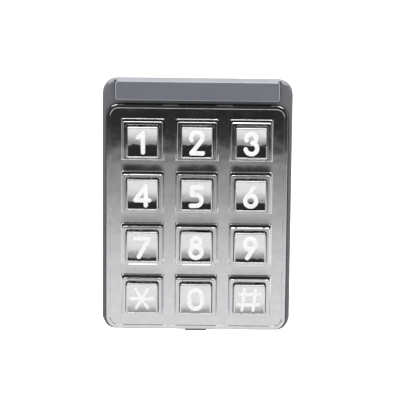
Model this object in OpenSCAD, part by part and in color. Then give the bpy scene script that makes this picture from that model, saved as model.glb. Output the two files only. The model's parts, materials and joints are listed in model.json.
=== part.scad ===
// Keypad access reader: a flush wall unit with twelve sprung metal keys, a cast bezel with a raised
// collar round each key, and a reader bar across the top of a moulded housing.
//
// Frame: +Z up, +X to the right as seen by the person at the keys, front faces towards -Y.
// The origin is the centre of the wall face. Depths are written as distances in front of the wall
// (d), so a point at depth d has y = -d, and what reaches into the wall box has a negative d.

/* [Housing] */
// Width of the housing
housing_w = 76; // [75:1:110]
// Height of the housing
housing_h = 104; // [104:1:150]
// Corner radius of the housing outline
housing_r = 6; // [4:0.5:10]
// Gap from the wall to the back edge of the housing rim
housing_standoff = 3.5; // [3.5:0.1:6]
// Depth of the housing rim
housing_depth = 4.6; // [4.6:0.1:10]
// Thickness of the side walls
housing_wall = 2; // [1.6:0.1:3]
// Thickness of the front wall
face_t = 1.6; // [1.4:0.1:2.4]

/* [Reader bar] */
// Width of the raised bar
bar_w = 65.6; // [60:0.2:70]
// Height of the raised bar
bar_h = 7.75; // [7.5:0.05:10]
// How far the bar stands out of the housing face
bar_proud = 2.8; // [2.6:0.1:5]
// Wall thickness of the bar
bar_wall = 1.2; // [1:0.1:1.5]
// Corner radius of the bar
bar_r = 1.2; // [0.6:0.1:2]

/* [Bezel] */
// Width of the housing face left showing beside the bezel
bezel_side = 1.7; // [1.5:0.1:4]
// Height of the housing face left showing under the bezel
bezel_foot = 0.6; // [0.6:0.1:3]
// Gap between the bezel and the reader bar
bezel_head = 2.05; // [1.6:0.05:4]
// Thickness of the bezel plate
bezel_t = 1.5; // [1.2:0.1:2.5]
// Corner radius of the bezel
bezel_r = 4.8; // [3:0.1:6]
// Depth of the pocket that the bezel lies in
pocket_depth = 0.8; // [0.5:0.1:1]
// Thickness of the seal under the bezel
seal_t = 0.5; // [0.3:0.1:1]
// Width of the raised border round the bezel
border_w = 1.5; // [1:0.1:2]
// Height of the raised border
border_h = 0.35; // [0.2:0.05:0.6]

/* [Keys] */
// Distance between key centres, both ways
key_pitch = 21.7; // [18:0.1:22]
// Width and height of a key
key_w = 12.7; // [10.6:0.1:13]
// How far a key stands out of its collar
key_proud = 2.5; // [1.8:0.1:3]
// How far a key travels when it is pressed
key_travel = 1; // [0.6:0.1:1]
// Clearance round a key in its collar
key_gap = 0.3; // [0.2:0.05:0.4]
// Corner radius of a key
key_r = 0.8; // [0.4:0.1:1.5]
// Width of the flange that keeps a key in its collar
key_flange = 0.7; // [0.5:0.1:0.8]
// Height of a collar above the bezel plate
collar_h = 3.5; // [3:0.1:5]
// Width of a collar's front rim
collar_rim = 1.3; // [1.2:0.05:1.6]
// Slope of a collar's sides, as its width at the plate less its width at the rim, on each side
collar_draft = 0.5; // [0.2:0.05:0.8]

/* [Wall fixing] */
// Distance between the two wall-box screws
box_pitch = 83.3; // [83.3:0.1:90]
// Width of a wall-box screw slot
slot_w = 4.2; // [3.6:0.1:4.6]
// Length of a wall-box screw slot
slot_len = 6.2; // [5:0.1:6.5]
// Thickness of the mounting plate
plate_t = 2.5; // [2.5:0.1:4]
// Thickness of the foam seal against the wall
foam_t = 1; // [0.5:0.1:1]
// Width of the rear case that goes into the wall box
case_w = 46; // [46:1:50]
// Height of the rear case
case_h = 69; // [69:0.5:70]
// Reach of the rear case behind the wall
case_reach = 20; // [20:1:30]
// Wall thickness of the rear case
case_wall = 1.8; // [1.5:0.1:2.2]
// Radius of the cable hole through the grommet
cable_r = 4; // [2.5:0.1:4.5]

/* [Hidden] */

$fn = 48;
eps = 0.01;          // how far a cut runs past the face it opens
play = 0.2;          // clearance round a part that drops into a pocket
thread_play = 0.05;  // clearance between a screw and its hole

// Depths of the faces, counted forward from the wall
plate_front = foam_t + plate_t;
rim_back = housing_standoff;
face_d = rim_back + housing_depth;
pocket_d = face_d - pocket_depth;
ledge_back = pocket_d - face_t;
brow_back = face_d - face_t;
bar_front = face_d + bar_proud;
bezel_back = pocket_d + seal_t;
bezel_front = bezel_back + bezel_t;
collar_front = bezel_front + collar_h;
key_front = collar_front + key_proud;

// Outline of the bezel, and the middle of the block of keys
bezel_w = housing_w - 2 * bezel_side;
bezel_h = housing_h - bezel_foot - bezel_head - bar_h;
keys_z = -housing_h / 2 + bezel_foot + bezel_h / 2;
bar_z = housing_h / 2 - bar_h / 2;

// Keys and collars
columns = 3;
rows = 4;
opening_w = key_w + 2 * key_gap;
opening_r = key_r + key_gap;
well_w = opening_w + 2 * key_flange;        // the wider well behind a collar's lip
rim_w = opening_w + 2 * collar_rim;
foot_w = rim_w + 2 * collar_draft;
lip_t = 2.9;                                // depth of the lip that stops the flange
lip_back = collar_front - lip_t;
flange_play = 0.1;
flange_front = lip_back - flange_play;
flange_t = flange_front - bezel_back - key_travel - flange_play;
key_back = flange_front - flange_t;
flange_w = well_w - 2 * play;
key_skirt = 1.6;                            // wall left round the hollow in the back of a key
hollow_w = key_w - 2 * key_skirt;
hollow_depth = 2.6;
plunger_r = 2.2;

// Switch mat and keypad board
mat_t = 1;
board_t = 1.6;
board_margin = 1.85;
board_w = (columns - 1) * key_pitch + well_w + 2 * board_margin;
board_h = (rows - 1) * key_pitch + well_w + 2 * board_margin;
board_r = 2;
mat_back = bezel_back - mat_t;
board_back = mat_back - board_t;
window_w = board_w + 2 * play;
window_h = board_h + 2 * play;
dome_foot_r = 4.2;
dome_top_r = 2.6;
dome_gap = 0.3;                             // between a dome and the key above it
dome_top = key_back - dome_gap;
dome_skin = 0.5;
dome_hollow_r = 3.1;
pill_r = 1.5;
pill_gap = 0.4;                             // between a contact pill and the board

// Small screws
screw_r = 0.85;
screw_hole_r = screw_r + thread_play;
screw_head_r = 1.9;
screw_head_t = 1;
boss_r = 2.1;
corner_boss_r = 1.6;
boss_play = 0.15;                           // clearance of a corner boss in the housing
corner_head_r = 2.1;
corner_x = (window_w + bezel_w) / 4;
corner_z = (window_h + bezel_h) / 4;
boss_floor = 0.5;                           // metal left in front of a screw hole

// Indicator board and antenna behind the reader bar
peg_margin = 2.3;                           // from the end of the bar to the end of the board
ind_w = bar_w - 2 * peg_margin;
ind_h = 4.8;
ind_t = 0.8;
ind_play = 0.1;
ind_z = housing_h / 2 - housing_wall - ind_h / 2 - ind_play;
ind_front = brow_back;
ind_back = ind_front - ind_t;
peg_x = ind_w / 2 - 1.5;                    // two pegs of the bar hold the indicator board
peg_r = 0.8;
light_w = 2 * peg_x - 4;                    // opening in the housing behind the bar
light_h = 3.6;
rod_r = 1;
rod_len = 40;
coil_r = 1.5;
spool_len = 30;
spool_end_t = 1;
spool_d = ind_front + 1.55;                 // depth of the rod's axis
spool_wall = 0.25;
led_x = light_w / 2 - 3.5;
led_base_w = 3.2;
led_base_h = 2.6;
led_base_t = 0.8;
led_r = 1.1;
led_dome_t = 1;

// Mounting plate
mount_play = 0.6;                           // between the plate's edge and the housing wall
mount_w = housing_w - 2 * (housing_wall + mount_play);
mount_h = housing_h - 2 * (housing_wall + mount_play);
mount_r = housing_r - housing_wall;
case_play = 1;
pad_t = 1.5;                                // plate thickness at a wall screw
pad_w = 12;
pad_end = 5.4;                              // from a slot's middle to the end of its thin pad
foam_w = 3;
hook_x = 18;
hook_w = 8;
hook_t = 1.1;
hook_root = 3;
hook_rise = 0.9;                            // how far a hook reaches into the top wall
hook_gap = 0.4;
hook_stand = 0.3;                           // step between the plate and a hook's back
hook_back = plate_front + hook_gap + hook_stand;
hook_front = hook_back + hook_t;
lug_w = 8;
lug_h = 3;
lug_front = 6.4;
lug_gap = 0.3;                              // between the lug and the bottom wall
lug_top = -housing_h / 2 + housing_wall + lug_gap + lug_h;
lock_r = 1.2;
lock_hole_r = lock_r + thread_play;
lock_d = 4.7;                               // depth of the security screw's axis
lock_head_r = 2.2;
lock_head_t = 1.3;
lock_pad_w = 8.8;
lock_pad_h = 0.8;
lock_pad_back = 2;
lock_pad_front = pocket_d - 0.1;            // just behind the pocket's floor
lock_key_r = 1.1;                           // hexagon socket
lock_key_depth = 0.9;

// Rear case
flange_plate_t = 1.2;
flange_plate_front = board_back - play;
flange_plate_back = flange_plate_front - flange_plate_t;
flange_plate_h = board_h - 0.8;
case_r = 3;
case_floor = -case_reach + case_wall;
case_in_w = case_w - 2 * case_wall;
case_in_h = case_h - 2 * case_wall;
post_x = housing_w / 2 - housing_wall - 2.1;  // posts of the housing that hold the rear case
post_z = key_pitch;
post_r = 1.9;
head_room = 0.3;
grommet_z = -22;
grommet_neck_r = cable_r + 2.4;
grommet_flange_r = cable_r + 4;
grommet_flange_t = 1.2;

// Main board and what stands on it
main_play = 0.7;
main_w = case_in_w - 2 * main_play;
main_h = case_in_h - 2 * main_play;
main_t = 1.6;
main_front = -6;
main_back = main_front - main_t;
main_screw_x = case_in_w / 2 - 3.6;
main_screw_z = case_in_h / 2 - 4;
main_post_r = 2.6;
main_screw_grip = 5.5;                      // length of screw in the post
link_z = 22;                                // plug and socket between the two boards
link_split = -0.5;
socket_w = 18;
socket_h = 5;
header_w = 16;
header_h = 3.4;
terminal_ways = 8;
terminal_pitch = 2.54;
terminal_z = 24;
terminal_h = 8;
terminal_t = 8.4;
clamp_r = 1;                                // hole over a clamp screw
clamp_depth = 2.4;
clamp_z = 1;
clamp_screw_r = clamp_r - thread_play;
clamp_screw_sunk = 0.6;
mouth_w = 1.6;                              // opening for a wire
mouth_t = 3;
relay_x = 9;
relay_z = 4;
relay_w = 15.4;
relay_h = 10.4;
relay_t = 9.6;
chip_w = 10;
chip_t = 1.4;
chip_x = -6;
chip_z = 4;
cap_r = 3.1;
cap_t = 8;
cap_x = -12;
cap_z = 3;
cap_pitch = 10;
buzzer_r = 6;
buzzer_t = 4;
buzzer_x = 6;
buzzer_z = -16;
buzzer_hole_r = 0.8;
buzzer_skin = 1;
sensor_w = 4;
sensor_t = 3;
sensor_x = 12;
sensor_z = -26;
sensor_window_r = 2;                        // window in the rear case, for the light of the tamper sensor

// The key at each place, row by row from the top left
function place_x(i) = (i % columns - (columns - 1) / 2) * key_pitch;
function place_z(i) = keys_z + ((rows - 1) / 2 - floor(i / columns)) * key_pitch;

// Rounded rectangle in the drawing plane
module outline(w, h, r) {
    square([w - 2 * r, h], center = true);
    square([w, h - 2 * r], center = true);
    for (x = [-1, 1], y = [-1, 1])
        translate([x * (w / 2 - r), y * (h / 2 - r)]) circle(r);
}

// Anything flat, raised from depth back to depth front
module raise(back, front, x = 0, z = 0) {
    translate([x, -back, z]) rotate([90, 0, 0]) linear_extrude(front - back) children();
}

module slab(w, h, r, back, front, x = 0, z = 0) {
    raise(back, front, x, z) outline(w, h, r);
}

module block(w, h, back, front, x = 0, z = 0) {
    raise(back, front, x, z) square([w, h], center = true);
}

module disc(r, back, front, x = 0, z = 0) {
    raise(back, front, x, z) circle(r);
}

module at_keys() {
    for (i = [0 : columns * rows - 1]) translate([place_x(i), 0, place_z(i)]) children();
}

// The points midway between four keys, where the keypad board is screwed to the bezel
module at_board_screws() {
    for (c = [0 : columns - 2], r = [0 : rows - 2])
        translate([(c - (columns - 2) / 2) * key_pitch, 0, keys_z + (r - (rows - 2) / 2) * key_pitch])
            children();
}

module at_corner_screws() {
    for (x = [-1, 1], z = [-1, 1]) translate([x * corner_x, 0, keys_z + z * corner_z]) children();
}

module at_case_screws() {
    for (x = [-1, 1], z = [-1, 1]) translate([x * post_x, 0, keys_z + z * post_z]) children();
}

module at_main_screws() {
    for (x = [-1, 1], z = [-1, 1]) translate([x * main_screw_x, 0, z * main_screw_z]) children();
}

// A small pan-head screw driven from the back: head behind depth seat, point at depth tip
module screw(seat, tip, head_r, head_t) {
    disc(head_r, seat - head_t, seat);
    disc(screw_r, seat, tip);
}

module housing() {
    color([0.44, 0.45, 0.48]) difference() {
        union() {
            difference() {
                slab(housing_w, housing_h, housing_r, rim_back, face_d);
                slab(housing_w - 2 * housing_wall, housing_h - 2 * housing_wall,
                     housing_r - housing_wall, rim_back - eps, ledge_back);
                slab(window_w, window_h, board_r, rim_back, face_d + eps, z = keys_z);
                slab(bezel_w + 2 * play, bezel_h + 2 * play, bezel_r + play,
                     pocket_d, face_d + eps, z = keys_z);
                // deeper recess behind the reader bar
                block(ind_w + 1, ind_h + 2 * ind_play, rim_back, brow_back, z = ind_z);
                block(light_w, light_h, rim_back, face_d + eps, z = ind_z);
            }
            at_case_screws() disc(post_r, flange_plate_front, ledge_back + eps);
            // pad round the security screw, under the bottom wall
            translate([-lock_pad_w / 2, -lock_pad_front, -housing_h / 2 - lock_pad_h])
                cube([lock_pad_w, lock_pad_front - lock_pad_back, housing_wall + lock_pad_h]);
        }
        at_case_screws() disc(screw_hole_r, flange_plate_front - eps, pocket_d - 0.3);
        at_corner_screws() {
            disc(corner_boss_r + boss_play, ledge_back - eps, pocket_d + eps);
            disc(corner_head_r + play, rim_back - eps, ledge_back);
        }
        for (x = [-1, 1]) {
            disc(peg_r + play, brow_back - eps, face_d + eps, x = x * peg_x, z = ind_z);
            // slot in the top wall for a hook of the mounting plate
            translate([x * hook_x - hook_w / 2 - hook_gap, -hook_front - hook_stand,
                       housing_h / 2 - housing_wall - eps])
                cube([hook_w + 2 * hook_gap, hook_t + 0.5, hook_rise + 0.3]);
        }
        // notch in the ledge for the lug of the mounting plate
        translate([-lug_w / 2 - hook_gap, -lug_front - hook_gap, -housing_h / 2 + housing_wall])
            cube([lug_w + 2 * hook_gap, lug_front, lug_h + 1]);
        translate([0, -lock_d, -housing_h / 2 - lock_pad_h - eps]) {
            cylinder(r = lock_head_r + play, h = lock_head_t + 2 * eps);
            cylinder(r = lock_r + play, h = housing_wall + lock_pad_h + 1);
        }
    }
}

module reader_bar() {
    color([0.46, 0.47, 0.5]) {
        difference() {
            slab(bar_w, bar_h, bar_r, face_d, bar_front, z = bar_z);
            slab(bar_w - 2 * bar_wall, bar_h - 2 * bar_wall, bar_r / 2, face_d - eps, bar_front - bar_wall,
                 z = bar_z);
        }
        for (x = [-1, 1]) disc(peg_r, ind_back - 0.4, bar_front - bar_wall, x = x * peg_x, z = ind_z);
    }
}

module bezel_gasket() {
    color([0.1, 0.1, 0.1]) difference() {
        slab(bezel_w - 4 * play, bezel_h - 4 * play, bezel_r - 2 * play, pocket_d, bezel_back, z = keys_z);
        slab(window_w + 2 * play, window_h + 2 * play, board_r, pocket_d - eps, bezel_back + eps, z = keys_z);
        at_corner_screws() disc(corner_boss_r + boss_play, pocket_d - eps, bezel_back + eps);
    }
}

// Solid of one collar, narrower at the rim: two tapered prisms, one seen from each side, intersected
module collar_body() {
    profile = [[-foot_w / 2, bezel_front - eps], [foot_w / 2, bezel_front - eps],
               [rim_w / 2, collar_front], [-rim_w / 2, collar_front]];
    intersection() {
        translate([0, 0, -foot_w / 2]) linear_extrude(foot_w)
            polygon([for (p = profile) [p[0], -p[1]]]);
        translate([-foot_w / 2, 0, 0]) rotate([90, 0, 90]) linear_extrude(foot_w)
            polygon([for (p = profile) [-p[1], p[0]]]);
    }
}

module keypad_bezel() {
    color([0.78, 0.78, 0.8]) difference() {
        union() {
            slab(bezel_w, bezel_h, bezel_r, bezel_back, bezel_front, z = keys_z);
            difference() {
                slab(bezel_w, bezel_h, bezel_r, bezel_front - eps, bezel_front + border_h, z = keys_z);
                slab(bezel_w - 2 * border_w, bezel_h - 2 * border_w, bezel_r - border_w,
                     bezel_front - 2 * eps, bezel_front + border_h + eps, z = keys_z);
            }
            at_keys() collar_body();
            at_board_screws() disc(boss_r, mat_back, bezel_back + eps);
            at_corner_screws() disc(corner_boss_r, ledge_back + 0.1, bezel_back + eps);
        }
        at_keys() {
            slab(opening_w, opening_w, opening_r, bezel_back, collar_front + eps);
            slab(well_w, well_w, opening_r, bezel_back - eps, lip_back);
        }
        at_board_screws() disc(screw_hole_r, mat_back - eps, bezel_front - boss_floor);
        at_corner_screws() disc(screw_hole_r, ledge_back, bezel_front - boss_floor);
    }
}

// One key: square cap, retaining flange, and a hollow back with a plunger over the dome
module key(i) {
    color([0.82, 0.82, 0.84]) translate([place_x(i), 0, place_z(i)]) {
        difference() {
            union() {
                slab(key_w, key_w, key_r, key_back, key_front);
                slab(flange_w, flange_w, key_r, key_back, flange_front);
            }
            slab(hollow_w, hollow_w, key_r, key_back - eps, key_back + hollow_depth);
        }
        disc(plunger_r, key_back, key_back + hollow_depth + eps);
    }
}

// Silicone sheet with a collapsing dome and a contact pill under each key
module keypad_mat() {
    color([0.3, 0.3, 0.32]) {
        difference() {
            union() {
                slab(board_w - play, board_h - play, board_r, mat_back, bezel_back, z = keys_z);
                at_keys() translate([0, -bezel_back + eps, 0]) rotate([90, 0, 0])
                    cylinder(r1 = dome_foot_r, r2 = dome_top_r, h = dome_top - bezel_back + eps);
            }
            at_keys() disc(dome_hollow_r, mat_back - eps, dome_top - dome_skin);
            at_board_screws() disc(boss_r + play, mat_back - eps, bezel_back + eps);
        }
        at_keys() disc(pill_r, mat_back + pill_gap, dome_top - dome_skin + eps);
    }
}

module keypad_board() {
    color([0.1, 0.35, 0.2]) difference() {
        slab(board_w, board_h, board_r, board_back, mat_back, z = keys_z);
        at_board_screws() disc(screw_r + play, board_back - eps, mat_back + eps);
    }
}

module board_screws() {
    color([0.7, 0.7, 0.72]) at_board_screws()
        screw(board_back, bezel_front - boss_floor - play, screw_head_r, screw_head_t);
}

module bezel_screws() {
    color([0.7, 0.7, 0.72]) at_corner_screws()
        screw(ledge_back, bezel_front - boss_floor - play, corner_head_r, screw_head_t);
}

module indicator_board() {
    color([0.1, 0.35, 0.2]) difference() {
        block(ind_w, ind_h, ind_back, ind_front, z = ind_z);
        for (x = [-1, 1]) disc(peg_r + play, ind_back - eps, ind_front + eps, x = x * peg_x, z = ind_z);
    }
}

// A domed lamp at each end of the bar
module status_leds() {
    color([0.9, 0.95, 0.9]) for (x = [-1, 1]) {
        block(led_base_w, led_base_h, ind_front, ind_front + led_base_t, x = x * led_x, z = ind_z);
        disc(led_r, ind_front + led_base_t, ind_front + led_base_t + led_dome_t, x = x * led_x, z = ind_z);
    }
}

// Anything round along the length of the antenna rod
module spool(r, len) {
    translate([-len / 2, -spool_d, ind_z]) rotate([0, 90, 0]) cylinder(r = r, h = len);
}

module antenna_bobbin() {
    color([0.85, 0.83, 0.75]) difference() {
        union() {
            spool(rod_r + spool_wall, spool_len);
            for (x = [-1, 1]) translate([x * (spool_len - spool_end_t) / 2, 0, 0])
                intersection() {
                    spool(2 * coil_r, spool_end_t);
                    block(spool_end_t, 2 * coil_r, ind_front, 2 * spool_d - ind_front, z = ind_z);
                }
        }
        spool(rod_r + thread_play, spool_len + 1);
    }
}

module ferrite_rod() {
    color([0.15, 0.15, 0.16]) spool(rod_r, rod_len);
}

module antenna_coil() {
    color([0.72, 0.4, 0.2]) difference() {
        spool(coil_r, spool_len - 2 * spool_end_t - play);
        spool(rod_r + spool_wall + thread_play, spool_len);
    }
}

module rear_case() {
    color([0.15, 0.15, 0.17]) difference() {
        union() {
            slab(mount_w, flange_plate_h, board_r, flange_plate_back, flange_plate_front, z = keys_z);
            slab(case_w, case_h, case_r, -case_reach, flange_plate_front);
        }
        slab(case_in_w, case_in_h, case_r - case_wall / 2, case_floor, flange_plate_front + eps);
        at_case_screws() disc(screw_r + play, flange_plate_back - eps, flange_plate_front + eps);
        // room for the heads of the wall-box screws
        for (z = [-1, 1])
            block(pad_w - 2, pad_w - 2, flange_plate_back - eps, flange_plate_front + eps,
                  z = z * (case_h / 2 + play + pad_w / 2 - 1));
        disc(grommet_neck_r + play / 2, -case_reach - eps, case_floor + eps, z = grommet_z);
        disc(sensor_window_r, -case_reach - eps, case_floor + eps, x = sensor_x, z = sensor_z);
    }
    color([0.15, 0.15, 0.17]) at_main_screws() difference() {
        disc(main_post_r, case_floor - eps, main_back);
        disc(screw_hole_r, main_back - main_screw_grip - 0.5, main_back + eps);
    }
}

module rear_case_screws() {
    color([0.7, 0.7, 0.72]) at_case_screws()
        screw(flange_plate_back, pocket_d - 0.5, screw_head_r, screw_head_t);
}

// Rubber ring in the floor of the rear case, with a flange on each side
module cable_grommet() {
    color([0.08, 0.08, 0.08]) difference() {
        union() {
            disc(grommet_neck_r, -case_reach - eps, case_floor + eps, z = grommet_z);
            disc(grommet_flange_r, -case_reach - grommet_flange_t, -case_reach, z = grommet_z);
            disc(grommet_flange_r, case_floor, case_floor + grommet_flange_t, z = grommet_z);
        }
        disc(cable_r, -case_reach - 2, case_floor + 2, z = grommet_z);
    }
}

module main_board() {
    color([0.1, 0.35, 0.2]) difference() {
        slab(main_w, main_h, case_r - case_wall / 2, main_back, main_front);
        at_main_screws() disc(screw_r + play, main_back - eps, main_front + eps);
    }
}

module main_board_screws() {
    color([0.7, 0.7, 0.72]) at_main_screws() mirror([0, 1, 0])
        screw(-main_front, -main_back + main_screw_grip, screw_head_r, screw_head_t);
}

module board_socket() {
    color([0.12, 0.12, 0.12]) block(socket_w, socket_h, link_split, board_back, z = link_z);
}

module board_header() {
    color([0.12, 0.12, 0.12]) block(header_w, header_h, main_front, link_split, z = link_z);
}

module at_terminals() {
    for (i = [0 : terminal_ways - 1])
        translate([(i - (terminal_ways - 1) / 2) * terminal_pitch, 0, terminal_z]) children();
}

// Wire clamps in a row; each way has a screw hole behind and a wire mouth below
module terminal_block() {
    color([0.15, 0.4, 0.2]) difference() {
        block(terminal_ways * terminal_pitch + 1, terminal_h, main_back - terminal_t, main_back, z = terminal_z);
        at_terminals() {
            disc(clamp_r, main_back - terminal_t - eps, main_back - terminal_t + clamp_depth, z = clamp_z);
            translate([-mouth_w / 2, -main_back + 2, -terminal_h / 2 - eps]) cube([mouth_w, mouth_t, 3]);
        }
    }
}

module terminal_screws() {
    color([0.7, 0.7, 0.72]) at_terminals()
        disc(clamp_screw_r, main_back - terminal_t + clamp_screw_sunk, main_back - terminal_t + clamp_depth,
             z = clamp_z);
}

module door_relay() {
    color([0.12, 0.2, 0.45]) block(relay_w, relay_h, main_back - relay_t, main_back, x = relay_x, z = relay_z);
}

module controller_chip() {
    color([0.08, 0.08, 0.08]) block(chip_w, chip_w, main_front, main_front + chip_t, x = chip_x, z = chip_z);
}

module filter_capacitors() {
    color([0.2, 0.2, 0.25]) for (s = [-1, 1])
        disc(cap_r, main_back - cap_t, main_back, x = cap_x, z = cap_z + s * cap_pitch / 2);
}

module piezo_buzzer() {
    color([0.1, 0.1, 0.1]) difference() {
        disc(buzzer_r, main_front, main_front + buzzer_t, x = buzzer_x, z = buzzer_z);
        disc(buzzer_hole_r, main_front + buzzer_t - buzzer_skin, main_front + buzzer_t + eps,
             x = buzzer_x, z = buzzer_z);
    }
}

module tamper_sensor() {
    color([0.1, 0.1, 0.12]) block(sensor_w, sensor_w, main_back - sensor_t, main_back, x = sensor_x, z = sensor_z);
}

module mounting_plate() {
    color([0.6, 0.6, 0.62]) difference() {
        union() {
            slab(mount_w, mount_h, mount_r, foam_t, plate_front);
            for (x = [-1, 1]) translate([x * hook_x - hook_w / 2, 0, 0]) {
                translate([0, -hook_front, mount_h / 2 - hook_root])
                    cube([hook_w, hook_front - plate_front + eps, hook_root]);
                translate([0, -hook_front, mount_h / 2 - eps])
                    cube([hook_w, hook_t, housing_h / 2 - housing_wall + hook_rise - mount_h / 2]);
            }
            translate([-lug_w / 2, -lug_front, lug_top - lug_h])
                cube([lug_w, lug_front - foam_t, lug_h]);
        }
        slab(case_w + 2 * case_play, case_h + 2 * case_play, case_r, foam_t - eps, plate_front + eps);
        for (z = [-1, 1]) {
            // thin pad for the screw head, open to the middle
            pad_from = case_h / 2 + case_play - eps;
            block(pad_w, box_pitch / 2 + pad_end - pad_from, foam_t + pad_t, plate_front + eps,
                  z = z * (pad_from + box_pitch / 2 + pad_end) / 2);
            raise(foam_t - eps, plate_front, z = z * box_pitch / 2) {
                for (s = [-1, 1]) translate([0, s * (slot_len - slot_w) / 2]) circle(slot_w / 2);
                square([slot_w, slot_len - slot_w], center = true);
            }
        }
        // pockets for the heads of the rear-case screws
        at_case_screws() disc(screw_head_r + 0.5, flange_plate_back - screw_head_t - head_room,
                              plate_front + eps);
        translate([0, -lock_d, lug_top - lug_h - 2]) cylinder(r = lock_hole_r, h = lug_h + 4);
    }
}

module wall_gasket() {
    color([0.1, 0.1, 0.1]) difference() {
        slab(mount_w - 2 * play, mount_h - 2 * play, mount_r - play, 0, foam_t);
        slab(mount_w - 2 * play - 2 * foam_w, mount_h - 2 * play - 2 * foam_w, mount_r - play - foam_w + 2.5,
             -eps, foam_t + eps);
    }
}

module security_screw() {
    head_z = -housing_h / 2 - lock_pad_h + 0.1;
    color([0.75, 0.75, 0.77]) translate([0, -lock_d, head_z]) {
        difference() {
            cylinder(r = lock_head_r, h = lock_head_t - 0.1);
            translate([0, 0, -eps]) cylinder(r = lock_key_r, h = lock_key_depth, $fn = 6);
        }
        cylinder(r = lock_r, h = lug_top - head_z - 0.2);
    }
}

housing();
reader_bar();
bezel_gasket();
keypad_bezel();
key(0);  // key_1
key(1);  // key_2
key(2);  // key_3
key(3);  // key_4
key(4);  // key_5
key(5);  // key_6
key(6);  // key_7
key(7);  // key_8
key(8);  // key_9
key(9);  // key_star
key(10);  // key_0
key(11);  // key_hash
keypad_mat();
keypad_board();
board_screws();
bezel_screws();
indicator_board();
status_leds();
antenna_bobbin();
ferrite_rod();
antenna_coil();
rear_case();
rear_case_screws();
cable_grommet();
main_board();
main_board_screws();
board_socket();
board_header();
terminal_block();
terminal_screws();
door_relay();
controller_chip();
filter_capacitors();
piezo_buzzer();
tamper_sensor();
mounting_plate();
wall_gasket();
security_screw();
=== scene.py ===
import json
from math import atan2, cos, pi, radians, sin, sqrt

import bmesh
import bpy
from bpy.props import FloatProperty, FloatVectorProperty, PointerProperty
from mathutils import Matrix, Vector
from mathutils.geometry import delaunay_2d_cdt


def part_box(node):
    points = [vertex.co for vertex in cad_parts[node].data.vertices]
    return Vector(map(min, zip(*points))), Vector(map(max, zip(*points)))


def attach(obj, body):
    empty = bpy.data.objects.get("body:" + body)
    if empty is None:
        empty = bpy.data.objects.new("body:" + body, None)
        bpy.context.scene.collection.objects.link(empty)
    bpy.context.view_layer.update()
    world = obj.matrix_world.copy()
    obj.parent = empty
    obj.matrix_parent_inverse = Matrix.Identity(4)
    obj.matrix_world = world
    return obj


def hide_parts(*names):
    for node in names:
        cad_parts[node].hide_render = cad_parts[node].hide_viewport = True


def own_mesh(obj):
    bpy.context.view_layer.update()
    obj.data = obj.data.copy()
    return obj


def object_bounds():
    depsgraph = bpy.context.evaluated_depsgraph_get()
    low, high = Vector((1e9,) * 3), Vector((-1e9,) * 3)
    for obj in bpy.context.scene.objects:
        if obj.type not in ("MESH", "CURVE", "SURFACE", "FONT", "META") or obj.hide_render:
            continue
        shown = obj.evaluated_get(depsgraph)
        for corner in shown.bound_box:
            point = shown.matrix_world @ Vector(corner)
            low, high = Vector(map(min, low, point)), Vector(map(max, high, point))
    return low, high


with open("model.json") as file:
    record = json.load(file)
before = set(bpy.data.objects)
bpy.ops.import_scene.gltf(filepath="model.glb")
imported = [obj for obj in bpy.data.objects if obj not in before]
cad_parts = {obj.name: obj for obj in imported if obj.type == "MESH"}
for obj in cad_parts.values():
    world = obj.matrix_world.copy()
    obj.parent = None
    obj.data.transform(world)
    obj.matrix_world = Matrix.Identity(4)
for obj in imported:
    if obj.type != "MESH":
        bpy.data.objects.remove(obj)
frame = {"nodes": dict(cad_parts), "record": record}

bl_info = {
    "name": "Keypad Access Reader",
    "version": (1, 0, 0),
    "blender": (4, 5, 0),
    "location": "3D View > Sidebar > Keypad Reader",
    "description": "Finished surfaces of a flush keypad reader, built round its packed parts",
    "category": "Object",
}

# Every length is in metres. +Z is up, +X is right for the person at the keys, and the keys face -Y.
MM = 0.001
MICRON = 1e-6
CAD_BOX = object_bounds()
CLOSE = 0.02 * MM        # two faces nearer than this lie in one plane
WELD = 0.002 * MM        # vertices nearer than this are one

KEYS = {
    "key_1": "one", "key_2": "two", "key_3": "three",
    "key_4": "four", "key_5": "five", "key_6": "six",
    "key_7": "seven", "key_8": "eight", "key_9": "nine",
    "key_star": "star", "key_0": "zero", "key_hash": "hash",
}
EDGE_HIGHLIGHT = "painted_edge_highlight"     # how much painted highlight a vertex on the reader bar's rounded edge takes, 0 to 1
SLOT_OF = {row["node"]: row["material_slot"] for row in frame["record"]["subparts"]}
ROWS, COLUMNS = 4, 3

# What the plating mirrors: elevation in degrees against brightness, lowest first.
BENCH_TOP = (
    (-18.4, 0.91), (-17.2, 0.915), (-16.25, 0.77), (-15.3, 0.49), (-14.9, 0.38),
    (-14.48, 0.37), (-14.36, 0.14), (-14.22, 0.042), (-13.9, 0.028), (-13.1, 0.027),
)
ROOM_ABOVE = (
    (-12.5, 0.0), (-9.0, 0.0), (-4.0, 0.1), (4.0, 0.1),
    (12.0, 0.0), (48.0, 0.02), (60.0, 0.6), (85.0, 0.9),
)


def size(name, default, description):
    """A length of the object, shown in the sidebar in the scene's units."""
    return FloatProperty(name=name, default=default * MM, min=0.0, description=description,
                         unit="LENGTH", subtype="DISTANCE", precision=5)


def colour(name, default, description):
    return FloatVectorProperty(name=name, default=default, size=3, min=0.0, max=1.0,
                               subtype="COLOR", description=description)


class HousingSizes(bpy.types.PropertyGroup):
    edge: size("Front edge", 1.15, "Radius of the housing's front edge at the top and sides")
    foot_edge: size("Foot edge", 0.3, "Radius of the front edge under the bezel")
    pocket_edge: size("Pocket edge", 0.2, "Radius of the edge round the pocket for the bezel")
    bar_edge: size("Bar edge", 0.45, "Radius of the reader bar's front edge")
    groove: size("Groove", 0.35, "Width of the shadow groove round the reader bar")
    groove_depth: size("Groove depth", 0.8, "Depth of that groove")


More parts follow.
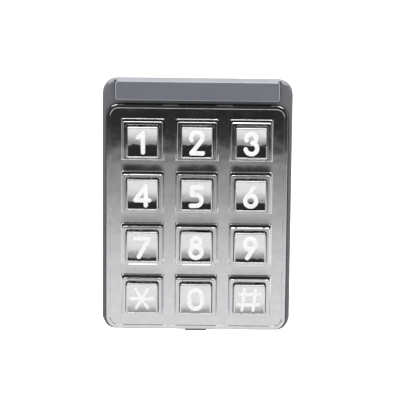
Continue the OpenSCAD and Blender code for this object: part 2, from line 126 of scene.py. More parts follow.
class BezelSizes(bpy.types.PropertyGroup):
    collar_height: size("Collar height", 3.5, "Height of a collar above the plate")
    border_height: size("Border height", 0.35, "Height of the raised border")
    corner: size("Collar corner", 0.75, "Radius of a collar's upright edges")
    rim: size("Collar rim", 0.42, "Radius of a collar's outer front edge")
    mouth: size("Collar mouth", 0.2, "Radius of the edge round a key opening")
    foot: size("Collar foot", 0.28, "Fillet where a collar stands on the plate")
    border_outer: size("Border outside", 0.33, "Radius of the border's outer edge")
    border_inner: size("Border inside", 0.22, "Radius of the border's inner edge")
    border_crisp: size("Border crisp", 0.05, "Radius of both along the border's lower run")
    border_foot: size("Border foot", 0.1, "Fillet where the border meets the plate")


class KeySizes(bpy.types.PropertyGroup):
    edge: size("Key edge", 0.3, "Radius of the key's outer front edge")
    lip: size("Lip", 0.12, "Width of the flat on top of the lip")
    inner_edge: size("Lip inside", 0.16, "Radius of the lip's inner edge")
    drop: size("Face drop", 0.16, "Depth of the face below the lip at the top and bottom")
    dish: size("Dish radius", 185.0, "Radius of the hollow across the key's face")
    dish_drop: size("Dish drop", 1.0, "How far the deepest line of the hollow lies below the key's middle")
    figure_height: size("Figure height", 0.3, "Height of a raised figure above the face")
    figure_edge: size("Figure edge", 0.16, "Radius of a raised figure's edges")
    stroke: size("Stroke", 1.75, "Stroke width of the figures 1 to 9 and 0")
    sign_stroke: size("Sign stroke", 1.2, "Stroke width of the star and hash signs")


class BackSizes(bpy.types.PropertyGroup):
    moulded_edge: size("Moulded edge", 0.35, "Radius of the edges of the rear case")
    sheet_edge: size("Sheet edge", 0.2, "Radius of the edges of the mounting plate")
    rubber_edge: size("Rubber edge", 0.3, "Radius of the edges of rubber pieces")
    screw_edge: size("Screw edge", 0.15, "Radius of the edges of screw heads")


class Colours(bpy.types.PropertyGroup):
    housing: colour("Housing", (0.146, 0.145, 0.157), "Moulded housing")
    bar: colour("Bar", (0.156, 0.162, 0.190), "Reader bar")
    bezel: colour("Bezel", (0.72, 0.72, 0.735), "Plated bezel")
    key: colour("Key", (0.83, 0.83, 0.84), "Plated key")
    figure: colour("Figure", (0.94, 0.94, 0.94), "Raised figures")


class StageSettings(bpy.types.PropertyGroup):
    elevation: FloatProperty(name="Elevation", default=radians(15.7), subtype="ANGLE", unit="ROTATION",
                             description="Height of the camera above the middle of the keys")
    azimuth: FloatProperty(name="Azimuth", default=radians(0.7), subtype="ANGLE", unit="ROTATION",
                           description="Turn of the camera to the right of straight ahead")
    roll: FloatProperty(name="Roll", default=radians(0.52), subtype="ANGLE", unit="ROTATION",
                        description="Tilt of the camera about its own axis")
    distance: size("Distance", 1179.0, "From the camera to the middle of the keys")
    aim_right: size("Aim right", 1.50, "How far right of the keys' middle the camera points")
    aim_up: size("Aim up", 8.86, "How far above the keys' middle the camera points")
    lens: FloatProperty(name="Lens", default=264.5, unit="CAMERA",
                        description="Focal length on a 36 mm sensor")
    floor_drop: size("Floor drop", 420.0, "From the bottom of the reader to the floor")
    ambient: FloatProperty(name="Ambient", default=0.32, description="Even part of the room's soft light")
    bounce: FloatProperty(name="Bounce", default=1.5, description="Strength of the soft light off the bench")
    overhead: FloatProperty(name="Overhead", default=54.0, unit="POWER",
                            description="Power of the overhead softbox")
    sides: FloatProperty(name="Sides", default=1.2, unit="POWER",
                         description="Power of the right softbox; the left one has a little over half of it")


GROUPS = {
    "reader_housing_sizes": HousingSizes,
    "reader_bezel_sizes": BezelSizes,
    "reader_key_sizes": KeySizes,
    "reader_back_sizes": BackSizes,
    "reader_colours": Colours,
    "reader_stage": StageSettings,
}


# ---------------------------------------------------------------- materials

class Finish:
    """Builds one procedural material on Object coordinates, with its detail nodes chained as asked."""

    def __init__(self, name, base, roughness, metallic=0.0):
        self.material = bpy.data.materials.new(name)
        self.material.use_nodes = True
        self.tree = self.material.node_tree
        self.shader = self.tree.nodes["Principled BSDF"]
        self.shader.inputs["Base Color"].default_value = (*base, 1)
        self.shader.inputs["Roughness"].default_value = roughness
        self.shader.inputs["Metallic"].default_value = metallic
        self.base = base
        self.coords = self.node("ShaderNodeTexCoord").outputs["Object"]
        self.normal = None

    def node(self, kind, **settings):
        made = self.tree.nodes.new(kind)
        for key, value in settings.items():
            setattr(made, key, value)
        return made

    def link(self, source, target):
        self.tree.links.new(source, target)

    def noise(self, grain, detail, stretch=(1, 1, 1), roughness=0.55, shift=0.0):
        """Noise whose lumps are about `grain` metres across, longer along the axes that stretch names."""
        mapping = self.node("ShaderNodeMapping")
        mapping.inputs["Scale"].default_value = [1 / (grain * s) for s in stretch]
        mapping.inputs["Location"].default_value = (shift, shift * 1.7, shift * 0.6)
        self.link(self.coords, mapping.inputs["Vector"])
        noise = self.node("ShaderNodeTexNoise")
        noise.inputs["Scale"].default_value = 1.0
        noise.inputs["Detail"].default_value = detail
        noise.inputs["Roughness"].default_value = roughness
        self.link(mapping.outputs["Vector"], noise.inputs["Vector"])
        return noise.outputs["Fac"]

    def spread(self, value, low, high, start=0.3, stop=0.7):
        """Maps a noise value onto low to high."""
        ranged = self.node("ShaderNodeMapRange")
        ranged.inputs["From Min"].default_value = start
        ranged.inputs["From Max"].default_value = stop
        ranged.inputs["To Min"].default_value = low
        ranged.inputs["To Max"].default_value = high
        self.link(value, ranged.inputs["Value"])
        return ranged.outputs["Result"]

    def bump(self, height, depth):
        """Adds relief of that depth, in metres, on top of any that is there."""
        bump = self.node("ShaderNodeBump")
        bump.inputs["Strength"].default_value = 1.0
        bump.inputs["Distance"].default_value = depth
        self.link(height, bump.inputs["Height"])
        if self.normal:
            self.link(self.normal, bump.inputs["Normal"])
        self.normal = bump.outputs["Normal"]
        self.link(self.normal, self.shader.inputs["Normal"])

    def mixer(self, share, other):
        """A mix of two colours, the second one given and used for the surface by that share.
        Returns the socket of the first."""
        node = self.node("ShaderNodeMix", data_type="RGBA", blend_type="MIX")
        first, second = [s for s in node.inputs if s.type == "RGBA"]
        second.default_value = (*other, 1)
        self.link(share, node.inputs["Factor"])
        self.link(next(s for s in node.outputs if s.type == "RGBA"), self.shader.inputs["Base Color"])
        return first

    def tone(self, value, low, high, start=0.3, stop=0.7):
        """Lightens and darkens the base colour by those factors."""
        light = [min(1, c * high) for c in self.base]
        dark = self.mixer(self.spread(value, 0, 1, start, stop), light)
        dark.default_value = (*[c * low for c in self.base], 1)

    def mix_in(self, share, other):
        """Turns the colour that is there into the other one by that share."""
        present = self.shader.inputs["Base Color"].links[0].from_socket
        self.link(present, self.mixer(share, other))

    def maths(self, operation, *values):
        """The result of one step of arithmetic on sockets and numbers."""
        node = self.node("ShaderNodeMath", operation=operation)
        for socket, value in zip(node.inputs, values):
            if isinstance(value, float):
                socket.default_value = value
            else:
                self.link(value, socket)
        return node.outputs["Value"]

    def axes(self):
        """The sockets X, Y and Z of the place on the object."""
        split = self.node("ShaderNodeSeparateXYZ")
        self.link(self.coords, split.inputs["Vector"])
        return split.outputs

    def sheen_change(self, value, low, high, start=0.3, stop=0.7):
        """Varies the roughness between those values."""
        self.link(self.spread(value, low, high, start, stop), self.shader.inputs["Roughness"])


def moulded(name, base, roughness, grain=0.35 * MM, relief=6 * MICRON, tone=0.05):
    """Moulded plastic: a fine spark-eroded texture with slow changes of tone and gloss."""
    f = Finish(name, base, roughness)
    mould_marks(f, grain, relief, tone, roughness, 0.06)


def mould_marks(f, grain, relief, tone, roughness, change):
    """Slow waves, a fine grain, and soft changes of tone and gloss."""
    f.bump(f.noise(9 * MM, 2), 12 * MICRON)
    f.bump(f.noise(grain, 4, roughness=0.7), relief)
    f.tone(f.noise(14 * MM, 4, shift=3), 1 - tone, 1 + tone)
    f.sheen_change(f.noise(5 * MM, 4, shift=7), roughness - change, roughness + change)


def plated(name, base, gloss, grain, waves, streaks, seed, painted_shade_mask, swell=None):
    """Bright plating on a casting: slow waves, faint upright streaks, smudges and handling marks.
    The colour is darkened to a tenth where that mask is 1, as painted shade in the gaps round the keys."""
    f = Finish(name, base, 0.08, 1.0)
    if swell:
        f.bump(rise_to_collars(f), swell)
    f.bump(f.noise(grain, 1.5, shift=seed), waves)
    f.bump(f.noise(1.6 * MM, 2, stretch=(1, 1, 3.5), shift=seed + 2), streaks)
    f.bump(f.noise(0.12 * MM, 2, shift=seed + 5), 0.008 * MICRON)     # a faint haze
    smudges = f.noise(7 * MM, 5, stretch=(1.4, 1, 1), roughness=0.65, shift=seed + 9)
    f.sheen_change(smudges, gloss, gloss + 0.04, 0.5, 0.8)
    f.tone(f.noise(4 * MM, 5, roughness=0.7, shift=seed + 11), 0.93, 1.03)
    # painted shade: the plating is darkened to a tenth of its colour where the mask is 1
    f.mix_in(painted_shade_mask(f), [0.1 * c for c in base])


def key_grid():
    """The distance between keys, the middle of key 1 and half a key's width."""
    first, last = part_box("key_1"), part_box("key_star")
    return (first[0].z - last[0].z) / (ROWS - 1), (first[0] + first[1]) / 2, (first[1].x - first[0].x) / 2


def behind_rim(f):
    """1 on what lies deeper than the front of the collars, where the plating gets painted shade."""
    just_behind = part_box("keypad_bezel")[0].y + 0.12 * MM
    return f.maths("GREATER_THAN", f.axes()["Y"], just_behind)


def over_columns(f, x, pitch):
    """1 within the three columns of keys."""
    return f.maths("LESS_THAN", f.maths("ABSOLUTE", x), COLUMNS / 2 * pitch)


def in_openings(f):
    """1 on the walls of the bezel's key openings, where the plating gets painted shade."""
    pitch, middle, half_key = key_grid()
    opening = half_key + 0.5 * MM
    axes = f.axes()
    found = over_columns(f, axes["X"], pitch)
    for axis, place in (("X", middle.x), ("Z", middle.z)):
        away = f.maths("PINGPONG", f.maths("SUBTRACT", axes[axis], place), pitch / 2)
        found = f.maths("MULTIPLY", found, f.maths("LESS_THAN", away, opening))
    return f.maths("MULTIPLY", found, behind_rim(f))


def rise_to_collars(f):
    """Height of the casting's soft rise towards the top of each collar, 0 to 1."""
    pitch, middle, half_key = key_grid()
    collar = half_key + 1.3 * MM
    run_up = 3.4 * MM                   # how far above the collar the rise begins
    level_to, gone_by = 6.0 * MM, 9.5 * MM      # how far beside the collar's middle it fades
    maths = f.maths

    def fade(value, start, stop, shape):
        node = f.node("ShaderNodeMapRange", interpolation_type=shape)
        for socket, setting in (("From Min", start), ("From Max", stop), ("To Min", 1.0), ("To Max", 0.0)):
            node.inputs[socket].default_value = setting
        f.link(value, node.inputs["Value"])
        return node.outputs["Result"]

    axes = f.axes()
    above = maths("WRAP", maths("SUBTRACT", axes["Z"], middle.z + collar), pitch, 0.0)
    beside = maths("PINGPONG", maths("SUBTRACT", axes["X"], middle.x), pitch / 2)
    ramp = maths("POWER", fade(above, 0.0, run_up, "LINEAR"), 1.8)
    rise = maths("MULTIPLY", ramp, fade(beside, level_to, gone_by, "SMOOTHSTEP"))
    above_last_row = maths("GREATER_THAN", axes["Z"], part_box("key_star")[0].z)
    return maths("MULTIPLY", maths("MULTIPLY", rise, above_last_row), over_columns(f, axes["X"], pitch))


def turned_metal(name, base, roughness, stretch=(1, 1, 6)):
    """Zinc-plated or stainless metal, with a brushed grain and cloudy plating."""
    f = Finish(name, base, roughness, 1.0)
    f.bump(f.noise(0.12 * MM, 3, stretch=stretch), 3 * MICRON)
    f.tone(f.noise(3 * MM, 5, roughness=0.7, shift=4), 0.82, 1.1)
    f.sheen_change(f.noise(2 * MM, 4, shift=8), roughness - 0.1, roughness + 0.15)


def rubbery(name, base, roughness, grain, relief):
    f = Finish(name, base, roughness)
    f.bump(f.noise(grain, 3, roughness=0.6), relief)
    f.tone(f.noise(6 * MM, 4, shift=2), 0.85, 1.2)
    f.sheen_change(f.noise(3 * MM, 4, shift=6), roughness - 0.08, roughness + 0.08)


def circuit_board(name, base):
    """Green solder mask over copper tracks, which show as faint relief and a lighter green."""
    f = Finish(name, base, 0.32)
    tracks = f.node("ShaderNodeTexBrick")
    tracks.inputs["Scale"].default_value = 260.0    # tracks 1 mm apart one way and 2 mm the other
    tracks.inputs["Mortar Size"].default_value = 0.05
    turn = f.node("ShaderNodeMapping")
    turn.inputs["Rotation"].default_value = (radians(90), 0, 0)
    f.link(f.coords, turn.inputs["Vector"])
    f.link(turn.outputs["Vector"], tracks.inputs["Vector"])
    f.bump(tracks.outputs["Fac"], 25 * MICRON)
    f.tone(tracks.outputs["Fac"], 0.8, 1.5, 0, 1)
    f.sheen_change(f.noise(4 * MM, 3), 0.26, 0.4)


def wound_wire(name, base):
    """Enamelled wire in close turns round the antenna rod, which runs along X."""
    wire = 0.25 * MM
    f = Finish(name, base, 0.3, 1.0)
    turns = f.node("ShaderNodeTexWave", wave_type="BANDS", bands_direction="X")
    turns.inputs["Scale"].default_value = 1 / wire / 3      # the texture has about three bands to a unit
    turns.inputs["Distortion"].default_value = 0.3
    f.link(f.coords, turns.inputs["Vector"])
    f.bump(turns.outputs["Fac"], 60 * MICRON)
    f.tone(turns.outputs["Fac"], 0.55, 1.1, 0, 1)


def make_finishes(colours):
    """Makes one material for each of the record's slots, and then the two that only some pieces wear."""
    moulded("housing_plastic", colours.housing, 0.55)
    moulded("bar_plastic", colours.bar, 0.5)
    # painted shade on the bezel's opening walls and on the keys' sides behind the collars' front
    plated("bezel_chrome", colours.bezel, 0.04, 8 * MM, 10 * MICRON, 0.3 * MICRON, 1.0, in_openings,
           swell=15 * MICRON)
    plated("key_chrome", colours.key, 0.02, 3.5 * MM, 12 * MICRON, 0.6 * MICRON, 21.0, behind_rim)
    rubbery("black_rubber", (0.022, 0.022, 0.023), 0.6, 0.3 * MM, 8 * MICRON)
    rubbery("black_foam", (0.03, 0.03, 0.031), 0.85, 0.45 * MM, 60 * MICRON)
    rubbery("silicone", (0.23, 0.23, 0.25), 0.45, 0.5 * MM, 5 * MICRON)
    circuit_board("circuit_board", (0.02, 0.13, 0.06))
    turned_metal("zinc_screw", (0.55, 0.55, 0.53), 0.32)
    turned_metal("steel_screw", (0.5, 0.5, 0.51), 0.28)
    turned_metal("zinc_plate", (0.5, 0.51, 0.52), 0.36, (8, 1, 1))
    moulded("lamp_resin", (0.78, 0.82, 0.78), 0.16, 1 * MM, 2 * MICRON, 0.03)
    moulded("bobbin_plastic", (0.72, 0.69, 0.6), 0.42)
    moulded("ferrite", (0.045, 0.045, 0.05), 0.6, 0.15 * MM, 15 * MICRON, 0.25)
    wound_wire("copper_wire", (0.62, 0.3, 0.12))
    moulded("case_plastic", (0.03, 0.03, 0.034), 0.5, 0.3 * MM, 9 * MICRON, 0.15)
    moulded("connector_plastic", (0.02, 0.02, 0.021), 0.4, 0.2 * MM, 5 * MICRON, 0.15)
    moulded("terminal_plastic", (0.03, 0.16, 0.07), 0.4, 0.25 * MM, 5 * MICRON)
    moulded("relay_plastic", (0.02, 0.05, 0.2), 0.3, 0.4 * MM, 4 * MICRON)
    moulded("chip_resin", (0.02, 0.02, 0.022), 0.55, 0.1 * MM, 8 * MICRON, 0.2)
    moulded("capacitor_sleeve", (0.03, 0.03, 0.06), 0.3, 0.5 * MM, 4 * MICRON)
    figure_paint("figure_white", colours.figure)
    cover_with_painted_edge_light("bar_cover", colours.bar)


def figure_paint(name, base):
    """White filled resin of the raised figures."""
    f = Finish(name, base, 0.42)
    f.bump(f.noise(0.8 * MM, 3), 5 * MICRON)
    f.tone(f.noise(2 * MM, 4, shift=3), 0.96, 1.02)
    f.sheen_change(f.noise(1.5 * MM, 3, shift=5), 0.36, 0.5)


def cover_with_painted_edge_light(name, base):
    """The reader bar's satin plastic, with a painted highlight along its rounded left, right and lower front
    edges.
    """
    roughness = 0.45
    f = Finish(name, base, roughness)
    mould_marks(f, 0.3 * MM, 4 * MICRON, 0.04, roughness, 0.05)
    # painted highlight: the edge rounding is lightened to 2.8 times the bar's colour
    f.mix_in(f.node("ShaderNodeAttribute", attribute_name=EDGE_HIGHLIGHT).outputs["Fac"], [2.8 * c for c in base])


# ---------------------------------------------------------------- shaping

def merged_copy(node):
    """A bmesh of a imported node, with its loose triangles joined into whole flat faces."""
    bm = bmesh.new()
    bm.from_mesh(frame["nodes"][node].data)
    bmesh.ops.remove_doubles(bm, verts=bm.verts, dist=WELD)
    bmesh.ops.dissolve_limit(bm, angle_limit=radians(0.4), verts=bm.verts, edges=bm.edges,
                             use_dissolve_boundaries=False)
    bm.normal_update()
    return bm


def is_sharp(edge, angle=25.0):
    return len(edge.link_faces) == 2 and edge.calc_face_angle(0.0) > radians(angle)


def mark_sharp(bm, angle):
    """Breaks the shading at edges that turn by more than that angle."""
    for edge in bm.edges:
        edge.smooth = not is_sharp(edge, angle)


def both_at(edge, axis, value):
    return all(abs(v.co[axis] - value) < CLOSE for v in edge.verts)


def faces_at(bm, depth):
    """The faces that lie flat in the plane y = depth."""
    return [f for f in bm.faces if all(abs(v.co.y - depth) < CLOSE for v in f.verts)]


def faces_in(geometry):
    return [f for f in geometry if isinstance(f, bmesh.types.BMFace)]


def around(faces):
    """The faces with all their edges and vertices, in an order that is the same each time."""
    edges = dict.fromkeys(e for f in faces for e in f.edges)
    verts = dict.fromkeys(v for f in faces for v in f.verts)
    return [*faces, *edges, *verts]


def largest_at(bm, depth):
    return max(faces_at(bm, depth), key=lambda face: face.calc_area())


def upright_edges(bm):
    """The edges of a block that run from its front to its back."""
    return [e for e in bm.edges if abs(e.verts[0].co.y - e.verts[1].co.y) > CLOSE]


def bevel(bm, edges, radius, segments):
    """Rounds edges of a bmesh, and returns the new faces."""
    return bmesh.ops.bevel(bm, geom=edges, offset=radius, offset_type="OFFSET", segments=segments,
                           profile=0.5, affect="EDGES", material=-1)["faces"]


def quarter_round(steps):
    """The start and end angle of each step of a quarter turn."""
    return [((i / steps) * pi / 2, ((i + 1) / steps) * pi / 2) for i in range(steps)]


def add_object(name, data):
    obj = bpy.data.objects.new(name, data)
    bpy.context.scene.collection.objects.link(obj)
    return obj


def piece(name, bm, slot_name, body, nodes=(), finish=None):
    """Makes the finished object: smooth between sharp edges, riding on its body, in place of its nodes."""
    mesh = bpy.data.meshes.new(name)
    bmesh.ops.recalc_face_normals(bm, faces=bm.faces)
    bm.to_mesh(mesh)
    bm.free()
    mesh.shade_smooth()
    obj = add_object(name, mesh)
    mesh.materials.append(bpy.data.materials[finish or slot_name])
    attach(obj, body)
    if nodes:
        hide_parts(*nodes)
    return obj


def weigh_edges(bm, radius_of):
    """Stores each edge's rounding as a share of the largest, and returns the largest radius.
    Edges that stay sharp are marked, so that the shading breaks there."""
    layer = bm.edges.layers.float.new("bevel_weight_edge")
    radii = {e: radius_of(e) for e in bm.edges if is_sharp(e)}
    largest = max(radii.values())
    for edge in bm.edges:
        radius = radii.get(edge, 0.0)
        edge[layer] = radius / largest
        edge.smooth = not (edge in radii and radius == 0.0)
    return largest


def round_edges(obj, radius, segments):
    rounding = obj.modifiers.new("Rounded edges", "BEVEL")
    rounding.limit_method = "WEIGHT"
    rounding.width = radius
    rounding.segments = segments
    rounding.profile = 0.5
    rounding.use_clamp_overlap = False
    rounding.loop_slide = True
    keep_flat(obj)


def keep_flat(obj):
    """Lets the large faces rule the shading, so that a flat face stays flat beside a rounded edge."""
    even = obj.modifiers.new("Flat faces stay flat", "WEIGHTED_NORMAL")
    even.keep_sharp = True
    even.weight = 100
    even.thresh = 0.0


def split_panels(bm, faces, cuts):
    """Cuts flat faces along planes, given as (axis, place), so that each part is a simple panel."""
    for axis, place in cuts:
        normal = Vector((0, 0, 0))
        normal[axis] = 1
        cut = bmesh.ops.bisect_plane(bm, geom=around(faces), dist=CLOSE / 10,
                                     plane_co=place * normal, plane_no=normal)
        faces = faces_in(cut["geom"])


def rounded_piece(name, node, radius_of, segments=4, prepare=None):
    """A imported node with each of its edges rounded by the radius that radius_of gives."""
    bm = merged_copy(node)
    if prepare:
        prepare(bm)
    largest = weigh_edges(bm, radius_of)
    obj = piece(name, bm, SLOT_OF[node], "reader", (node,))
    round_edges(obj, largest, segments)
    return obj


def block(low, high):
    """A bmesh of a box between two corners."""
    bm = bmesh.new()
    bmesh.ops.create_cube(bm, size=1.0, matrix=Matrix.Translation((low + high) / 2)
                          @ Matrix.Diagonal((*(high - low), 1)))
    return bm


def carve(bm, cutter):
    """Cuts the cutter's shape out of a closed bmesh."""
    pair = []
    for shape in (bm, cutter):
        mesh = bpy.data.meshes.new("carving")
        shape.to_mesh(mesh)
        pair.append(add_object("carving", mesh))
    cut = pair[0].modifiers.new("Cut", "BOOLEAN")
    cut.operation = "DIFFERENCE"
    cut.solver = "EXACT"
    cut.object = pair[1]
    whole = pair[0].evaluated_get(bpy.context.evaluated_depsgraph_get())
    bm.clear()
    bm.from_mesh(whole.to_mesh())
    whole.to_mesh_clear()
    cutter.free()
    for obj in pair:
        bpy.data.meshes.remove(obj.data)


# ---------------------------------------------------------------- operators

class READER_OT_finishes(bpy.types.Operator):
    """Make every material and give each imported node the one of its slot"""
    bl_idname = "reader.finishes"
    bl_label = "Finishes"

    def execute(self, context):
        for plain in list(bpy.data.materials):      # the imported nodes' own flat colours
            bpy.data.materials.remove(plain)
        make_finishes(context.scene.reader_colours)
        for name, obj in frame["nodes"].items():
            obj.data.materials.clear()
            obj.data.materials.append(bpy.data.materials[SLOT_OF[name]])
        return {"FINISHED"}


class READER_OT_housing(bpy.types.Operator):
    """Round the moulded housing's edges"""
    bl_idname = "reader.housing"
    bl_label = "Housing"

    def execute(self, context):
        sizes = context.scene.reader_housing_sizes
        low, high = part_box("housing")
        front = low.y
        foot = -high.z                      # the housing is as far below the middle as above
        corner = 6.2 * MM                   # the outline's corner radius
        rim = 1.4 * MM                      # an edge further in than this belongs to the pocket
        foot_rim = 0.3 * MM                 # the same along the bottom
        pocket_top = high.z - 12 * MM       # above this the pocket's edge stays sharp
        top_wall = 0.6 * MM                 # what the groove leaves of the housing's top
        groove_corner = 1.5 * MM
        bar_low, bar_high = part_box("reader_bar")
        beside_bar = bar_high.x + sizes.groove + 0.15 * MM

        def radius_of(edge):
            middle = (edge.verts[0].co + edge.verts[1].co) / 2
            under_bar = abs(middle.x) < beside_bar and middle.z > bar_low.z - 2 * sizes.groove
            if under_bar or not both_at(edge, 1, front):
                return 0.0
            across, along = abs(middle.x), abs(middle.z)
            at_side = abs(across - high.x) < CLOSE or abs(along - high.z) < CLOSE
            at_corner = across > high.x - corner and along > high.z - corner
            inward = across < high.x - rim and high.z - rim > middle.z > foot + foot_rim
            if (at_side or at_corner) and not inward:
                if middle.z > foot + corner:
                    return sizes.edge
                rise = max(0.0, min(1.0, (middle.z - foot) / corner))
                return sizes.foot_edge + (sizes.edge - sizes.foot_edge) * rise
            return sizes.pocket_edge if along < pocket_top else 0.0

        def groove(bm):
            """Cuts the groove beside and under the bar, short of the housing's top."""
            bottom = bar_low.z - sizes.groove
            cutter = block(Vector((bar_low.x - sizes.groove, front - 1 * MM, bottom)),
                           Vector((bar_high.x + sizes.groove, front + sizes.groove_depth, high.z - top_wall)))
            bevel(cutter, [e for e in upright_edges(cutter) if both_at(e, 2, bottom)], groove_corner, 6)
            carve(bm, cutter)
            for side in (-1, 1):
                split_panels(bm, faces_at(bm, front), [(0, side * beside_bar)])

        rounded_piece("housing_shell", "housing", radius_of, 5, groove)
        return {"FINISHED"}


class READER_OT_reader_bar(bpy.types.Operator):
    """Round the reader bar's front edges"""
    bl_idname = "reader.reader_bar"
    bl_label = "Reader bar"

    def execute(self, context):
        sizes = context.scene.reader_housing_sizes
        low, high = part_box("reader_bar")
        front = low.y
        bm = merged_copy("reader_bar")
        edge_light = bm.verts.layers.float.new(EDGE_HIGHLIGHT)
        rim = [e for e in bm.edges if both_at(e, 1, front) and is_sharp(e)]
        rounded = bevel(bm, rim, sizes.bar_edge, 6)
        # painted highlight: each vertex of the rounding below the top edge gets a share of the lightened
        # colour
        for vert in {v for f in rounded for v in f.verts}:
            depth = (vert.co.y - front) / sizes.bar_edge        # 0 at the bar's face, 1 behind the rounding
            if vert.co.z < high.z - 1.5 * sizes.bar_edge:
                vert[edge_light] = max(0.0, min(1.0, 4 * depth * (1 - 0.3 * depth)))
        mark_sharp(bm, 40)
        keep_flat(piece("reader_bar_cover", bm, "bar_plastic", "reader", ("reader_bar",), "bar_cover"))
        return {"FINISHED"}


class READER_OT_bezel(bpy.types.Operator):
    """Round and fillet the plated bezel and its twelve collars"""
    bl_idname = "reader.bezel"
    bl_label = "Bezel"

    def execute(self, context):
        sizes = context.scene.reader_bezel_sizes
        low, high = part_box("keypad_bezel")
        rim = low.y
        plate = rim + sizes.collar_height
        border = plate - sizes.border_height
        centres = [(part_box(k)[0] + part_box(k)[1]) / 2 for k in KEYS]
        half_key = key_grid()[2]
        reach = half_key + 0.35 * MM        # just outside an opening, inside a collar's rim
        collar_foot = reach + 0.95 * MM
        key_well = reach - 0.15 * MM
        border_width = 1.5 * MM
        corner = 4.8 * MM                   # the outline's corner radius

        def off_key(point):
            return min(max(abs(point.x - c.x), abs(point.z - c.z)) for c in centres)

        def inside_border(point):
            return min(high.x - abs(point.x), high.z - point.z, point.z - low.z)

        def radius_of(edge):
            middle = (edge.verts[0].co + edge.verts[1].co) / 2
            depths = sorted(v.co.y for v in edge.verts)
            if both_at(edge, 1, rim):
                return sizes.rim if off_key(middle) > reach else sizes.mouth
            crisp = middle.z < low.z + 2 * border_width         # the border's lower run is the crispest
            if both_at(edge, 1, border):
                if on_outline(middle):
                    return sizes.border_outer
                return sizes.border_crisp if crisp else sizes.border_inner
            if both_at(edge, 1, plate):
                if off_key(middle) < reach + 2.5 * MM:
                    return sizes.foot
                return sizes.border_crisp if crisp else sizes.border_foot
            if abs(depths[0] - rim) < CLOSE and abs(depths[1] - plate) < CLOSE and off_key(middle) > reach:
                return sizes.corner
            return 0.0

        def on_outline(point):
            """True on the bezel's outside, false along the border's inner edge."""
            if inside_border(point) < CLOSE:
                return True
            dx = abs(point.x) - (high.x - corner)
            dz = abs(point.z - (high.z + low.z) / 2) - ((high.z - low.z) / 2 - corner)
            return dx > 0 and dz > 0 and sqrt(dx * dx + dz * dz) > corner - border_width / 2

        def panels(bm):
            """Cuts the plate's front along the feet of the collars, and its back along the key wells."""
            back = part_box("bezel_gasket")[0].y
            for depth, half in ((plate, collar_foot), (back, key_well)):
                cuts = [(axis, place + side * half) for axis in (0, 2)
                        for place in sorted({round(c[axis], 5) for c in centres}) for side in (-1, 1)]
                split_panels(bm, faces_at(bm, depth), cuts)

        rounded_piece("bezel_casting", "keypad_bezel", radius_of, 4, panels)
        return {"FINISHED"}


class READER_OT_keys(bpy.types.Operator):
    """Shape each key's lip and dished face"""
    bl_idname = "reader.keys"
    bl_label = "Keys"

    def execute(self, context):
        sizes = context.scene.reader_key_sizes
        for name in KEYS:
            bm = merged_copy(name)
            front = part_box(name)[0].y
            face = largest_at(bm, front)
            centre = face.calc_center_bounds()
            bevel(bm, list(face.edges), sizes.edge, 5)
            face = largest_at(bm, front)
            bmesh.ops.inset_region(bm, faces=[face], thickness=sizes.lip, depth=0.0, use_even_offset=True)
            for a, b in quarter_round(4):   # from the lip down to the face
                bmesh.ops.inset_region(bm, faces=[face], thickness=sizes.inner_edge * (sin(b) - sin(a)),
                                       depth=-sizes.drop * (cos(a) - cos(b)), use_even_offset=True)
            dished = set(self.dish(bm, face, centre, sizes.dish, sizes.dish_drop))
            mark_sharp(bm, 40)
            for edge in bm.edges:
                if len(dished.intersection(edge.link_faces)) == 1:      # round the dished face
                    edge.smooth = False
            piece(name + "_cap", bm, "key_chrome", name, (name,))
        return {"FINISHED"}

    def dish(self, bm, face, centre, radius, drop):
        """Hollows the face to a shallow cylinder whose axis runs across the key."""
        half = max(v.co.z for v in face.verts) - centre.z
        level = face.verts[0].co.y
        patch, slices = [face], 20
        for i in range(1, slices):
            height = centre.z - half + 2 * half * i / slices
            cut = bmesh.ops.bisect_plane(bm, geom=around(patch), plane_co=(0, 0, height), plane_no=(0, 0, 1))
            patch = faces_in(cut["geom"])
        for vert in {v for f in patch for v in f.verts}:
            offset = vert.co.z - centre.z + drop
            vert.co.y = level + (half * half - offset * offset) / (2 * radius)
        return patch


def bar_stroke(bm, start, end, width):
    """A straight run of flat stroke between two points."""
    start, end = Vector((*start, 0)), Vector((*end, 0))
    run = end - start
    turn = Matrix.Rotation(atan2(run.y, run.x), 4, "Z")
    bmesh.ops.create_grid(bm, x_segments=1, y_segments=1, size=0.5,
                          matrix=Matrix.Translation((start + end) / 2) @ turn
                          @ Matrix.Diagonal((run.length, width, 1, 1)))


def arc_stroke(bm, centre, radius, start, end, width):
    """A curved run of flat stroke round a centre, from one angle to another in degrees."""
    turn = Matrix.Translation((*centre, 0)) @ Matrix.Rotation(radians(start), 4, "Z")
    ends = [bmesh.ops.create_vert(bm, co=turn @ Vector((radius + side * width / 2, 0, 0)))["vert"][0]
            for side in (-1, 1)]
    edge = bm.edges.new(ends)
    sweep = end - start
    bmesh.ops.spin(bm, geom=[edge, *ends], cent=(*centre, 0), axis=(0, 0, 1), angle=radians(sweep),
                   steps=round(abs(sweep) / 7.5), use_merge=abs(sweep) >= 360)


def dot_stroke(bm, centre, width):
    """The round end or joint of a stroke."""
    bmesh.ops.create_circle(bm, cap_ends=True, segments=32, radius=width / 2,
                            matrix=Matrix.Translation((*centre, 0)))


STROKES = {"arc": arc_stroke, "bar": bar_stroke, "dot": dot_stroke}


def polar(centre, radius, angle):
    return (centre[0] + radius * cos(radians(angle)), centre[1] + radius * sin(radians(angle)))


def bars(*points):
    """Straight runs through the points, with a dot at each."""
    return [("bar", a, b) for a, b in zip(points, points[1:])] + [("dot", p) for p in points]


def arc(centre, radius, start, end):
    ends = [] if abs(end - start) >= 360 else [("dot", polar(centre, radius, a)) for a in (start, end)]
    return [("arc", centre, radius, start, end)] + ends


